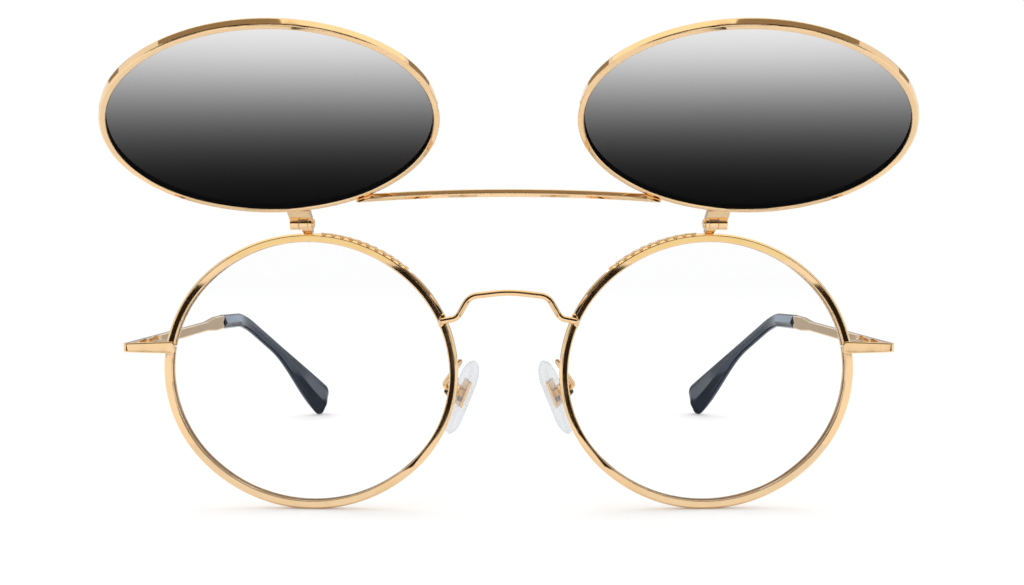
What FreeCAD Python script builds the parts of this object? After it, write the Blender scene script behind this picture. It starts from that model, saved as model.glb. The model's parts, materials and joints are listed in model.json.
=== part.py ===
import FreeCAD, Part
import math
import os

Vector = FreeCAD.Vector
Rotation = FreeCAD.Rotation
Placement = FreeCAD.Placement

# Flip up sunglasses in millimetres: X to the right, Y to the back, Z up, resting on the rims and tips.
# The right side is modelled, and the left side is its mirror image.

# Main rims and clear lenses
rim_gap = 17.8
rim_width = 52.3
rim_height = 49.0
rim_wall = 1.5
rim_depth = 1.9
rim_bevel = 0.35
rim_inner_bevel = 0.12
rim_wrap = 3.0
front_lean = 3.2
groove_depth = 0.5
groove_width = 1.0
lens_thickness = 1.6
lens_base_radius = 120.0
closing_gap = 0.25

# Flip rims and tinted lenses
flip_width_inset = 1.35
flip_height_inset = 0.9
flip_rim_wall = 1.0
flip_rim_depth = 1.3
flip_rim_bevel = 0.15
flip_wrap = 6.4
flip_groove_depth = 0.4
flip_groove_width = 0.7
flip_lens_thickness = 1.1
flip_open_angle = 28.2

# Brow hinges
flip_axis_rise = 1.8
flip_axis_forward = 3.3
flip_leaf_length = 3.95
flip_leaf_root = 0.6
flip_hinge_offset = 0.4
flip_knuckle_radius = 1.05
flip_knuckle_width = 1.5
flip_outer_ear_width = 1.5
flip_inner_ear_width = 0.6
flip_ear_radius = 1.1
flip_pin_radius = 0.45
flip_pin_head_radius = 0.75
flip_pin_head_height = 0.35
flip_post_thickness = 1.1
flip_post_foot = 1.6
detent_spring_thickness = 0.2

# Brow bar between the flip rims
brow_bar_reach = 11.0
brow_bar_height = 1.2
brow_bar_depth = 1.0
brow_bar_setback = 0.75
brow_bar_bow = 1.0
brow_bar_edge = 0.15

# Bridge wire
bridge_wire = 1.1
bridge_stand = 0.3
bridge_seat_height = 9.3
bridge_knee_height = 9.8
bridge_knee_outset = 0.1
bridge_shoulder_height = 13.6
bridge_shoulder_inset = 2.1
bridge_crown_height = 14.4
bridge_knee_radius = 1.8
bridge_shoulder_radius = 2.6
bridge_crown_radius = 22.0

# End pieces and the closing blocks behind them
end_piece_reach = 7.1
end_piece_rise = 4.35
end_piece_root_height = 2.2
end_piece_corner_height = 1.6
end_piece_plate = 1.3
end_piece_lap = 0.5
end_piece_corner_radius = 1.0
end_piece_lap_radius = 0.7
end_piece_edge = 0.2
closing_block_length = 2.3
closing_block_height = 1.0
closing_block_depth = 3.2
lock_screw_radius = 0.45
lock_screw_head_radius = 0.75
lock_screw_head_height = 0.4

# Temples
temple_thickness = 1.3
temple_height = 2.1
temple_hinge_depth = 13.0
temple_length = 53.7
temple_tilt = 1.2
temple_flare_length = 7.0
temple_flare_lead = 6.5
temple_seat_height = 3.2
core_radius = 0.5
core_share = 0.75
temple_edge = 0.25

# Temple hinges
hinge_barrel_radius = 0.9
hinge_standoff = 0.1
hinge_flange_length = 4.6
hinge_flange_thickness = 0.65
hinge_screw_radius = 0.4
hinge_screw_head_radius = 0.7
hinge_screw_head_height = 0.35
butt_gap = 0.05

# Temple tips
tip_bend_reach = 22.3
tip_bend_rise = 0.6
tip_bend_radius = 20.0
tip_drop_reach = 41.7
tip_end_inset = 14.7
tip_end_height = 5.6
tip_lip = 0.4
tip_front_height = 3.4
tip_neck_height = 3.1
tip_paddle_height = 8.6
tip_paddle_sink = 2.6
tip_swell_start = 0.22
tip_end_round = 3.0
tip_end_bluntness = 0.6
tip_end_slant = 18.0
tip_roll = 23.0
tip_thickness = 2.3
tip_paddle_thickness = 3.0
tip_nose_rise = 0.72
tip_nose_breadth = 0.6
tip_ridge_drop = 0.1

# Nose pads
pad_height = 14.2
pad_width = 7.0
pad_thickness = 1.9
pad_edge_radius = 0.75
pad_nasal_offset = 0.57
pad_depth = 8.0
pad_drop = 4.9
pad_hang = 0.9
pad_frontal_angle = 22.0
pad_splay_angle = 18.0
pad_box_gap = 0.35
pad_box_height = 2.6
pad_box_wall = 0.45
pad_lug_width = 1.3
pad_lug_radius = 0.7
pad_plate_length = 5.0
pad_plate_width = 3.2
pad_plate_thickness = 0.5
pad_screw_radius = 0.35
pad_screw_head_radius = 0.6
pad_screw_head_height = 0.3
pad_wire = 1.0
pad_wire_bend = 0.8
pad_wire_loop = 0.9
pad_wire_start_rise = 1.2
pad_wire_run = 3.5
pad_wire_nasal = 1.0

# Fits
seat_clearance = 0.03
running_clearance = 0.04
side_clearance = 0.05
screw_slot_width = 0.25
screw_slot_depth = 0.2

# Places worked out from the sizes above
nasal_edge = rim_gap / 2
half_spacing = nasal_edge + rim_width / 2
rim_centre_height = rim_height / 2 * math.cos(math.radians(front_lean))
temple_level = rim_centre_height + end_piece_rise
outer_face = nasal_edge + rim_width + end_piece_reach
inner_face = outer_face - temple_thickness
temple_middle = (outer_face + inner_face) / 2
temple_seat_depth = temple_hinge_depth + temple_length
tip_bend_depth = temple_seat_depth + tip_bend_reach
flip_rim_width = rim_width - 2 * flip_width_inset
flip_rim_height = rim_height - 2 * flip_height_inset
flip_swing = 90 + front_lean + flip_open_angle

front = Placement(Vector(0, 0, rim_centre_height), Rotation(Vector(1, 0, 0), front_lean))
eye = front.multiply(Placement(Vector(half_spacing, 0, 0), Rotation(Vector(0, 0, 1), rim_wrap)))
flip_axis = Vector(half_spacing, -flip_axis_forward, rim_height / 2 + flip_axis_rise)
flip_centre = flip_axis - Vector(0, 0, flip_leaf_length + flip_rim_height / 2)
flip_eye = Placement(flip_centre, Rotation(Vector(0, 0, 1), flip_wrap))
flip = front.multiply(Placement(Vector(0, 0, 0), Rotation(Vector(1, 0, 0), -flip_swing), flip_axis))
flip_rim_place = flip.multiply(flip_eye).multiply(Placement(Vector(0, -flip_rim_depth, 0), Rotation()))
hinge_axis = Vector(inner_face - hinge_standoff - hinge_barrel_radius, temple_hinge_depth, temple_level)
pad_frontal = Rotation(Vector(0, 1, 0), -pad_frontal_angle)
pad_turn = pad_frontal.multiply(Rotation(Vector(0, 0, 1), -pad_splay_angle))
pad_centre = Vector(nasal_edge - pad_nasal_offset, pad_depth, -pad_drop)
pad = front.multiply(Placement(pad_centre, pad_turn))

pad_box_front = pad_thickness / 2 + pad_box_gap
pad_screw_place = pad_box_front + pad_lug_radius
pad_box_back = pad_screw_place + pad_lug_radius + side_clearance + pad_box_wall
pad_box_half_width = pad_lug_width / 2 + side_clearance + pad_box_wall

hinge_width = flip_inner_ear_width + flip_knuckle_width + flip_outer_ear_width + 2 * side_clearance
inner_ear_start = half_spacing + flip_hinge_offset - hinge_width / 2
inner_ear_end = inner_ear_start + flip_inner_ear_width
knuckle_start = inner_ear_end + side_clearance
knuckle_end = knuckle_start + flip_knuckle_width
outer_ear_start = knuckle_end + side_clearance
outer_ear_end = outer_ear_start + flip_outer_ear_width
spring_seat = flip_knuckle_radius + side_clearance + detent_spring_thickness


def placed(shape, placement):
    """Copy of a shape, moved by a placement."""
    moved = shape.copy()
    moved.Placement = placement.multiply(moved.Placement)
    return moved


def mirrored(shape):
    """Mirror image on the other side of the nose."""
    return shape.mirror(Vector(0, 0, 0), Vector(1, 0, 0))


def block(low, high):
    """Box between two corners."""
    size = high - low
    return Part.makeBox(size.x, size.y, size.z, low)


def extruded(points, along):
    """Prism of a closed polygon."""
    return Part.Face(Part.makePolygon(points + points[:1])).extrude(along)


def oval_arcs(width, height):
    """Centres and radii of the right, top, left and bottom arcs of an oval in the XZ plane."""
    shift = (width - height) / 2 / (2 - math.sqrt(2))
    side = width / 2 - shift
    crown = height / 2 + shift
    centres = [Vector(shift, 0, 0), Vector(0, 0, -shift), Vector(-shift, 0, 0), Vector(0, 0, shift)]
    return list(zip(centres, [side, crown, side, crown]))


def on_arc(centre, radius, degrees, depth):
    """Point on a circle in the XZ plane, moved back by depth."""
    turn = math.radians(degrees)
    return centre + Vector(radius * math.cos(turn), depth, radius * math.sin(turn))


def oval_side(width, height, inset, rise):
    """Half the breadth, at a height above the middle, of an oval drawn in by inset."""
    centre, radius = oval_arcs(width, height)[0]
    return centre.x + math.sqrt((radius - inset) ** 2 - rise ** 2)


def oval_crown(width, height, reach):
    """Height above the middle of an oval's top at a distance to one side."""
    centre, radius = oval_arcs(width, height)[1]
    return centre.z + math.sqrt(radius ** 2 - reach ** 2)


def oval_ring(width, height, section):
    """Ring whose section, in pairs of inset and depth, runs along an oval."""
    quarters = []
    for index, (centre, radius) in enumerate(oval_arcs(width, height)):
        points = [on_arc(centre, radius - inset, 90 * index - 45, depth) for inset, depth in section]
        face = Part.Face(Part.makePolygon(points + points[:1]))
        quarters.append(face.revolve(centre, Vector(0, -1, 0), 90))
    return quarters[0].fuse(quarters[1:]).removeSplitter()


def oval_disc(width, height, inset, front_depth, back_depth):
    """Solid disc inside an oval that is drawn in by inset."""
    edges = []
    for index, (centre, radius) in enumerate(oval_arcs(width, height)):
        turns = [90 * index - 45, 90 * index, 90 * index + 45]
        ends = [on_arc(centre, radius - inset, turn, front_depth) for turn in turns]
        edges.append(Part.Arc(*ends).toShape())
    return Part.Face(Part.Wire(edges)).extrude(Vector(0, back_depth - front_depth, 0))


def eyewire(width, height, wall, depth, bevel, inner_bevel, groove_into, groove_across):
    """Oval rim with bevelled edges and the lens groove in its inner wall."""
    near = (depth - groove_across) / 2
    far = (depth + groove_across) / 2
    section = [(0, bevel), (bevel, 0), (wall - inner_bevel, 0), (wall, inner_bevel),
               (wall, near), (wall - groove_into, near), (wall - groove_into, far), (wall, far),
               (wall, depth - inner_bevel), (wall - inner_bevel, depth), (bevel, depth), (0, depth - bevel)]
    return oval_ring(width, height, section)


def lens(width, height, wall, depth, groove_into, groove_across, thickness):
    """Curved lens of even thickness, with the tongue that fills the groove of its rim."""
    inset = wall + seat_clearance
    edge = (width + height) / 4 - inset
    middle = depth / 2
    centre = Vector(0, middle + math.sqrt((lens_base_radius - thickness / 2) ** 2 - edge ** 2), 0)
    reach = edge ** 2 / lens_base_radius + thickness
    disc = oval_disc(width, height, inset, middle - reach, middle + reach)
    body = disc.common(Part.makeSphere(lens_base_radius, centre))
    body = body.cut(Part.makeSphere(lens_base_radius - thickness, centre))
    tongue = groove_across / 2 - seat_clearance
    outer = wall - groove_into + seat_clearance
    bite = inset + groove_into
    near = middle - tongue
    far = middle + tongue
    ring = oval_ring(width, height, [(outer, near), (bite, near), (bite, far), (outer, far)])
    return body.fuse(ring).removeSplitter()


def rounded_path(points, radii):
    """Straight runs joined by tangent arcs, with one radius for each inner point."""
    edges = []
    start = points[0]
    for before, corner, after, radius in zip(points, points[1:], points[2:], radii):
        inward = (before - corner).normalize()
        outward = (after - corner).normalize()
        half_turn = (math.pi - inward.getAngle(outward)) / 2
        first = corner + inward * (radius * math.tan(half_turn))
        last = corner + outward * (radius * math.tan(half_turn))
        middle = corner + (inward + outward).normalize() * (radius / math.cos(half_turn) - radius)
        edges.append(Part.LineSegment(start, first).toShape())
        edges.append(Part.Arc(first, middle, last).toShape())
        start = last
    edges.append(Part.LineSegment(start, points[-1]).toShape())
    return Part.Wire(edges)


def round_wire(path, radius):
    """Round wire along a path."""
    first = path.Edges[0]
    start = first.valueAt(first.FirstParameter)
    profile = Part.Wire(Part.makeCircle(radius, start, first.tangentAt(first.FirstParameter)))
    return path.makePipeShell([profile], True, False)


def slotted_screw(start, along, length, radius, head_radius, head_height):
    """Screw with its shank from start along a direction, and a slotted head before start."""
    shank = Part.makeCylinder(radius, length)
    head = Part.makeCylinder(head_radius, head_height, Vector(0, 0, -head_height))
    low = Vector(-head_radius, -screw_slot_width / 2, -head_height)
    high = Vector(head_radius, screw_slot_width / 2, screw_slot_depth - head_height)
    screw = shank.fuse(head).removeSplitter().cut(block(low, high))
    return placed(screw, Placement(start, Rotation(Vector(0, 0, 1), along)))


def main_rim():
    """Eyewire of the front, split at the temple side."""
    ring = eyewire(rim_width, rim_height, rim_wall, rim_depth, rim_bevel, rim_inner_bevel,
                   groove_depth, groove_width)
    low = Vector(rim_width / 4, -rim_depth, end_piece_rise - closing_gap / 2)
    high = Vector(rim_width, 2 * rim_depth, end_piece_rise + closing_gap / 2)
    return placed(ring.cut(block(low, high)), eye)


def main_rim_plug():
    """Everything within the outline of the main rim, to trim what is soldered to its outer wall."""
    return placed(oval_disc(rim_width, rim_height, 0, -rim_depth, 2 * rim_depth), eye)


def clear_lens():
    """Clear lens of the main rim."""
    shape = lens(rim_width, rim_height, rim_wall, rim_depth, groove_depth, groove_width, lens_thickness)
    return placed(shape, eye)


def bridge():
    """Arched wire whose ends are soldered on the fronts of the two rims."""
    reach = oval_side(rim_width, rim_height, rim_wall / 2, bridge_seat_height)
    seat = front.inverse().multVec(eye.multVec(Vector(-reach, 0, bridge_seat_height)))
    half = [(seat.x, bridge_seat_height), (nasal_edge + bridge_knee_outset, bridge_knee_height),
            (nasal_edge - bridge_shoulder_inset, bridge_shoulder_height)]
    outline = half + [(0, bridge_crown_height)] + [(-x, z) for x, z in reversed(half)]
    points = [Vector(x, seat.y - bridge_stand, z) for x, z in outline]
    radii = [bridge_knee_radius, bridge_shoulder_radius, bridge_crown_radius]
    wire = round_wire(rounded_path(points, radii + radii[1::-1]), bridge_wire / 2)
    ends = [Part.makeSphere(bridge_wire / 2, point) for point in (points[0], points[-1])]
    return placed(wire.fuse(ends), front).cut([main_rim(), mirrored(main_rim())])


def end_piece():
    """Plate from the front of the rim to the outer corner, and the arm back to the temple hinge."""
    face = eye.multVec(Vector(rim_width / 2, 0, end_piece_rise)).y - end_piece_lap
    inner = oval_side(rim_width, rim_height, rim_wall, end_piece_rise + end_piece_root_height / 2)
    lap = eye.multVec(Vector(inner, 0, 0)).x
    root = end_piece_root_height / 2
    corner = end_piece_corner_height / 2
    outline = [Vector(lap, face, temple_level - root), Vector(outer_face, face, temple_level - corner),
               Vector(outer_face, face, temple_level + corner), Vector(lap, face, temple_level + root)]
    plate = extruded(outline, Vector(0, end_piece_plate, 0))
    lap_end = lap + side_clearance
    lap_edges = [edge for edge in plate.Edges if edge.CenterOfMass.x < lap_end and is_along_depth(edge)]
    plate = plate.makeFillet(end_piece_lap_radius, lap_edges)
    ends = []
    for depth, half in ((face, corner), (temple_hinge_depth, temple_height / 2)):
        low = temple_level - half
        high = temple_level + half
        corners = [Vector(inner_face, depth, low), Vector(outer_face, depth, low),
                   Vector(outer_face, depth, high), Vector(inner_face, depth, high)]
        ends.append(Part.makePolygon(corners + corners[:1]))
    body = plate.fuse(Part.makeLoft(ends, True, True)).removeSplitter()
    low = Vector(outer_face - end_piece_corner_radius, face, temple_level - root)
    high = Vector(outer_face, face + end_piece_corner_radius, temple_level + root)
    middle = Vector(low.x, high.y, low.z)
    corner_cut = block(low, high).cut(Part.makeCylinder(end_piece_corner_radius, high.z - low.z, middle))
    body = body.cut(corner_cut)
    skin = [edge for edge in body.Edges if is_outer_edge(edge, face)]
    lens_room = placed(oval_disc(rim_width, rim_height, rim_wall / 2, 0, rim_depth), eye)
    return body.makeFillet(end_piece_edge, skin).cut([main_rim(), lens_room])


def is_along_depth(edge):
    """Whether an edge runs straight back."""
    return edge.BoundBox.DiagonalLength - edge.BoundBox.YLength < side_clearance


def is_outer_edge(edge, face):
    """Whether an edge is a top or bottom edge on the outside of an end piece whose front is at a depth."""
    middle = edge.CenterOfMass
    margin = end_piece_corner_radius / 2
    outside = middle.y < face + margin or middle.x > outer_face - margin
    return outside and abs(middle.z - temple_level) > end_piece_corner_height / 4


def closing_block(direction):
    """Block soldered to one end of the split rim, above (1) or below (-1) the split, with a screw hole."""
    outer = oval_side(rim_width, rim_height, 0, end_piece_rise)
    under_head = lock_screw_seat()
    rises = sorted([closing_gap / 2 * direction, closing_block_height * direction])
    low = Vector(outer - rim_wall, 0, end_piece_rise + rises[0])
    high = Vector(outer + closing_block_length, closing_block_depth, end_piece_rise + rises[1])
    hole = Part.makeCylinder(lock_screw_radius + seat_clearance, rim_height, under_head)
    seat = Part.makeCylinder(lock_screw_head_radius + seat_clearance, rim_height,
                             under_head, Vector(0, 0, -1))
    solid = placed(block(low, high).cut([hole, seat]), eye).cut(main_rim_plug())
    apart = Placement(Vector(0, 0 if direction > 0 else side_clearance, 0), Rotation())
    return solid.cut([end_piece(), placed(end_piece(), apart)])


def lock_screw_seat():
    """Middle of the face under the head of the lock screw, in the frame of the eye."""
    outer = oval_side(rim_width, rim_height, 0, end_piece_rise)
    depth = (end_piece_plate - end_piece_lap + closing_block_depth) / 2
    rise = end_piece_rise - closing_block_height + lock_screw_head_height
    return Vector(outer + closing_block_length / 2, depth, rise)


def rim_lock_screw():
    """Screw that draws the closing blocks together around the lens."""
    length = 2 * closing_block_height - lock_screw_head_height
    screw = slotted_screw(lock_screw_seat(), Vector(0, 0, 1), length,
                          lock_screw_radius, lock_screw_head_radius, lock_screw_head_height)
    return placed(screw, eye)


def hinge_knuckles(levels, direction, clearance):
    """Half of a temple hinge: barrels at some levels, and the flange before (-1) or behind (1) the axis."""
    clear = hinge_barrel_radius + side_clearance
    bottom = temple_level - temple_height / 2
    depths = sorted([hinge_axis.y + direction * clear, hinge_axis.y + direction * hinge_flange_length])
    solid = block(Vector(inner_face - hinge_flange_thickness, depths[0], bottom),
                  Vector(inner_face, depths[1], bottom + temple_height))
    for low, high in levels:
        base = Vector(hinge_axis.x, hinge_axis.y, low)
        reach = clear + hinge_flange_thickness
        depths = sorted([hinge_axis.y + direction * butt_gap, hinge_axis.y + direction * reach])
        web = block(Vector(hinge_axis.x, depths[0], low), Vector(inner_face, depths[1], high))
        solid = solid.fuse([Part.makeCylinder(hinge_barrel_radius, high - low, base), web])
    base = Vector(hinge_axis.x, hinge_axis.y, bottom)
    hole = Part.makeCylinder(hinge_screw_radius + clearance, temple_height, base)
    return solid.removeSplitter().cut(hole)


def hinge_levels():
    """Bottom and top of the three barrels of a temple hinge, from the lowest up."""
    barrel = (temple_height - 2 * side_clearance) / 3
    starts = [temple_level - temple_height / 2 + index * (barrel + side_clearance) for index in range(3)]
    return [(start, start + barrel) for start in starts]


def front_hinge_knuckle():
    """Hinge half on the end piece, with the lowest and highest barrels."""
    return hinge_knuckles(hinge_levels()[::2], -1, seat_clearance)


def temple_hinge_knuckle():
    """Hinge half on the temple, with the middle barrel."""
    return hinge_knuckles(hinge_levels()[1:2], 1, running_clearance)


def temple_hinge_screw():
    """Screw down through the three barrels."""
    top = Vector(hinge_axis.x, hinge_axis.y, temple_level + temple_height / 2)
    return slotted_screw(top, Vector(0, 0, -1), temple_height,
                         hinge_screw_radius, hinge_screw_head_radius, hinge_screw_head_height)


def on_temple(across, depth, offset):
    """Point at an offset above the middle line of a temple, which rises to the back."""
    rise = (depth - temple_hinge_depth) * math.tan(math.radians(temple_tilt))
    return Vector(across, depth, temple_level + rise + offset)


def tip_path(start_depth, share):
    """Middle line of a temple tip: back, round the bend, then a share of the run down and inwards."""
    start = on_temple(temple_middle, start_depth, 0)
    bend = Vector(temple_middle, tip_bend_depth, temple_level + tip_bend_rise)
    end = Vector(temple_middle - tip_end_inset, tip_bend_depth + tip_drop_reach, tip_end_height)
    return rounded_path([start, bend, bend + (end - bend) * share], [tip_bend_radius])


def temple():
    """Flat bar that flares to a round end, with the core wire that goes into the tip."""
    start = temple_hinge_depth + butt_gap
    slim = temple_height / 2
    broad = temple_seat_height / 2
    flare_end = temple_seat_depth - temple_flare_lead
    side = [(start, slim), (flare_end - temple_flare_length, slim),
            (flare_end, broad), (temple_seat_depth, broad)]
    top = [on_temple(inner_face, depth, half) for depth, half in side]
    bottom = [on_temple(inner_face, depth, -half) for depth, half in side]
    end = on_temple(inner_face, temple_seat_depth + broad, 0)
    outline = Part.makePolygon(bottom[::-1] + top).Edges
    outline.append(Part.Arc(top[-1], end, bottom[-1]).toShape())
    bar = Part.Face(Part.Wire(outline)).extrude(Vector(temple_thickness, 0, 0))
    side_edges = [edge for edge in bar.Edges if edge.BoundBox.XLength < temple_edge]
    long_edges = [edge for edge in side_edges if edge.CenterOfMass.y > start + butt_gap]
    bar = bar.makeFillet(temple_edge, long_edges)
    return bar.fuse(round_wire(tip_path(temple_seat_depth, core_share), core_radius))


def tip_section(place, height, thickness, swell, roll):
    """Section of a temple tip: two facets meet in a ridge on the inner side, and the other is bowed."""
    point, along = place
    outward = (Vector(1, 0, 0) - along * along.x).normalize()
    across = Rotation(along, -roll).multVec(outward)
    up = Rotation(across, tip_end_slant * swell).multVec(across.cross(along))
    middle = point - up * (tip_paddle_sink * swell)

    def at(rise, breadth):
        return middle + up * (rise * height / 2) + across * (breadth * thickness / 2)

    ridge = at(-tip_ridge_drop, -1)
    upper_inner = at(tip_nose_rise, -tip_nose_breadth)
    lower_inner = at(-tip_nose_rise, -tip_nose_breadth)
    upper_outer = at(tip_nose_rise, tip_nose_breadth)
    lower_outer = at(-tip_nose_rise, tip_nose_breadth)
    return Part.Wire([Part.LineSegment(upper_inner, ridge).toShape(),
                      Part.LineSegment(ridge, lower_inner).toShape(),
                      Part.Arc(lower_inner, at(-1, 0), lower_outer).toShape(),
                      Part.Arc(lower_outer, at(0, 1), upper_outer).toShape(),
                      Part.Arc(upper_outer, at(1, 0), upper_inner).toShape()])


def at_share(edge, share):
    """Point and direction at a share of an edge's length."""
    place = edge.FirstParameter + (edge.LastParameter - edge.FirstParameter) * share
    return edge.valueAt(place), edge.tangentAt(place)


def temple_tip():
    """Moulded tip that hooks behind the ear, with the seat of the temple and the channel of its core."""
    run, bend, drop = tip_path(temple_seat_depth + tip_lip, 1).Edges
    hook = []
    for share in (0, 1 / 3, 2 / 3, 1):
        height = tip_front_height + (tip_neck_height - tip_front_height) * share
        hook.append(tip_section(at_share(bend, share), height, tip_thickness, 0, 0))
    swell_end = 1 - tip_end_round / drop.Length
    swelling = []
    for into in (0, 1 / 4, 1 / 2, 3 / 4, 1):
        share = tip_swell_start + (swell_end - tip_swell_start) * into
        swell = into * into * (3 - 2 * into)
        height = tip_neck_height + (tip_paddle_height - tip_neck_height) * swell
        thickness = tip_thickness + (tip_paddle_thickness - tip_thickness) * swell
        roll = tip_roll * share / swell_end
        swelling.append(tip_section(at_share(drop, share), height, thickness, swell, roll))
    end = [swelling[-1]]
    for turn in (30, 55, 75):
        share = 1 - (1 - math.sin(math.radians(turn))) * tip_end_round / drop.Length
        size = math.cos(math.radians(turn)) ** tip_end_bluntness
        height = tip_paddle_height * size
        end.append(tip_section(at_share(drop, share), height, tip_paddle_thickness * size, 1, tip_roll))
    straight = Part.Face(hook[0]).extrude(at_share(run, 0)[0] - at_share(run, 1)[0])
    neck = Part.makeLoft([hook[-1], swelling[0]], True, True)
    curved = [Part.makeLoft(sections, True) for sections in (hook, swelling, end)]
    solid = straight.fuse([neck] + curved)
    seat_start = on_temple(inner_face - tip_thickness, temple_seat_depth, 0)
    seat = Part.makeCylinder(temple_seat_height / 2 + seat_clearance, temple_thickness + 2 * tip_thickness,
                             seat_start, Vector(1, 0, 0))
    channel_path = tip_path(temple_seat_depth, core_share + seat_clearance)
    return solid.cut([seat, round_wire(channel_path, core_radius + seat_clearance)])


def pad_arm():
    """Wire from the back of the rim, round a loop, to the back of the pad box."""
    reach = oval_side(rim_width, rim_height, rim_wall / 2, pad_wire_start_rise)
    start = eye.multVec(Vector(-reach, rim_depth, pad_wire_start_rise))
    knee = start + Vector(-pad_wire_nasal, pad_wire_run, pad_wire_nasal / 2)
    loop = pad.multVec(Vector(pad_box_back + pad_wire_loop, 0, 0))
    end = pad.multVec(Vector(pad_box_back, 0, 0))
    path = rounded_path([start, knee, loop, end], [pad_wire_bend, pad_wire_bend])
    return round_wire(path, pad_wire / 2).cut(main_rim())


def pad_box():
    """Small open box, soldered to the pad arm, that holds the lug of the pad."""
    solid = block(Vector(pad_box_front, -pad_box_half_width, -pad_box_height / 2),
                  Vector(pad_box_back, pad_box_half_width, pad_box_height / 2))
    slot_half = pad_lug_width / 2 + side_clearance
    slot = block(Vector(0, -slot_half, -pad_box_height),
                 Vector(pad_screw_place + pad_lug_radius + side_clearance, slot_half, pad_box_height))
    return placed(solid.cut([slot, pad_screw_hole(seat_clearance)]), pad)


def pad_screw_hole(clearance):
    """Hole for the pad screw, in the frame of the pad."""
    start = Vector(pad_screw_place, -pad_width, 0)
    return Part.makeCylinder(pad_screw_radius + clearance, 2 * pad_width, start, Vector(0, 1, 0))


def pad_screw():
    """Screw across the pad box, on which the pad rocks."""
    start = Vector(pad_screw_place, -pad_box_half_width, 0)
    screw = slotted_screw(start, Vector(0, 1, 0), 2 * pad_box_half_width,
                          pad_screw_radius, pad_screw_head_radius, pad_screw_head_height)
    return placed(screw, pad)


def pad_insert_shape(clearance):
    """Core plate of the pad and its lug, grown by a clearance, in the frame of the pad."""
    grow = Vector(clearance, clearance, clearance)
    half_plate = Vector(pad_plate_thickness / 2, pad_plate_width / 2, pad_plate_length / 2) + grow
    lug_half = pad_lug_width / 2 + clearance
    neck = pad_lug_radius + clearance
    end = Part.makeCylinder(neck, 2 * lug_half, Vector(pad_screw_place, -lug_half, 0), Vector(0, 1, 0))
    lug = block(Vector(0, -lug_half, -neck), Vector(pad_screw_place, lug_half, neck))
    return block(half_plate * -1, half_plate).fuse([lug, end]).removeSplitter()


def pad_insert():
    """Core plate and lug of the pad, with the hole that turns on the pad screw."""
    return placed(pad_insert_shape(0).cut(pad_screw_hole(running_clearance)), pad)


def nose_pad():
    """Soft oval pad moulded around its insert."""
    disc = oval_disc(pad_width, pad_height, 0, -pad_thickness / 2, pad_thickness / 2)
    rims = [edge for edge in disc.Edges if edge.BoundBox.YLength < pad_thickness / 2]
    sideways = Placement(Vector(0, 0, -pad_hang), Rotation(Vector(0, 0, 1), 90))
    soft = placed(disc.makeFillet(pad_edge_radius, rims), sideways)
    return placed(soft.cut(pad_insert_shape(seat_clearance)), pad)


def flip_rim():
    """Thin eyewire of the flip frame."""
    ring = eyewire(flip_rim_width, flip_rim_height, flip_rim_wall, flip_rim_depth,
                   flip_rim_bevel, flip_rim_bevel, flip_groove_depth, flip_groove_width)
    return placed(ring, flip_rim_place)


def tinted_lens():
    """Tinted lens of the flip frame."""
    shape = lens(flip_rim_width, flip_rim_height, flip_rim_wall, flip_rim_depth,
                 flip_groove_depth, flip_groove_width, flip_lens_thickness)
    return placed(shape, flip_rim_place)


def flip_rim_plug():
    """Everything within the outline of the flip rim, with the flip closed."""
    disc = oval_disc(flip_rim_width, flip_rim_height, 0, -4 * flip_rim_depth, 3 * flip_rim_depth)
    return placed(disc, flip_eye)


def brow_bar():
    """Gently bowed flat bar between the flip rims."""
    rise = oval_crown(flip_rim_width, flip_rim_height, brow_bar_reach)
    joint = flip_eye.multVec(Vector(-brow_bar_reach, brow_bar_setback - flip_rim_depth / 2, rise))
    bow_radius = (joint.x ** 2 + brow_bar_bow ** 2) / 2 / brow_bar_bow
    centre = Vector(0, joint.y - brow_bar_bow + bow_radius, joint.z - brow_bar_height / 2)
    end_turn = math.asin(half_spacing / bow_radius)
    sides = []
    for radius in (bow_radius + brow_bar_depth / 2, bow_radius - brow_bar_depth / 2):
        turns = [-end_turn, 0, end_turn]
        sides.append([centre + Vector(math.sin(turn), -math.cos(turn), 0) * radius for turn in turns])
    outer, inner = sides
    outline = [Part.Arc(*outer).toShape(), Part.LineSegment(outer[2], inner[2]).toShape(),
               Part.Arc(*inner[::-1]).toShape(), Part.LineSegment(inner[0], outer[0]).toShape()]
    bar = Part.Face(Part.Wire(outline)).extrude(Vector(0, 0, brow_bar_height))
    long_edges = [edge for edge in bar.Edges if edge.Length > half_spacing]
    bar = bar.makeChamfer(brow_bar_edge, long_edges)
    return placed(bar.cut([flip_rim_plug(), mirrored(flip_rim_plug())]), flip)


def along_hinge(start, end, radius):
    """Cylinder on the axis of the brow hinge between two places across the front."""
    return Part.makeCylinder(radius, end - start, Vector(start, flip_axis.y, flip_axis.z), Vector(1, 0, 0))


def flip_hinge_leaf():
    """Plate soldered on the flip rim, with an ear on each side of the knuckle."""
    front_side = flip_axis.y - flip_rim_depth
    root = flip_axis.z - flip_leaf_length - flip_leaf_root
    solid = block(Vector(inner_ear_start, front_side, root),
                  Vector(outer_ear_end, flip_axis.y, flip_axis.z - spring_seat))
    for start, end in ((inner_ear_start, inner_ear_end), (outer_ear_start, outer_ear_end)):
        web = block(Vector(start, front_side, root), Vector(end, flip_axis.y, flip_axis.z))
        solid = solid.fuse([web, along_hinge(start, end, flip_ear_radius)])
    hole = along_hinge(inner_ear_start, outer_ear_end, flip_pin_radius + seat_clearance)
    return placed(solid.removeSplitter().cut([hole, flip_rim_plug()]), flip)


def flip_detent_spring():
    """Flat spring between the ears, which holds the flip frame up or closed."""
    low = Vector(knuckle_start, flip_axis.y - flip_rim_depth, flip_axis.z - spring_seat)
    high = Vector(knuckle_end, flip_axis.y, flip_axis.z - spring_seat + detent_spring_thickness)
    return placed(block(low, high), flip)


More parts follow.
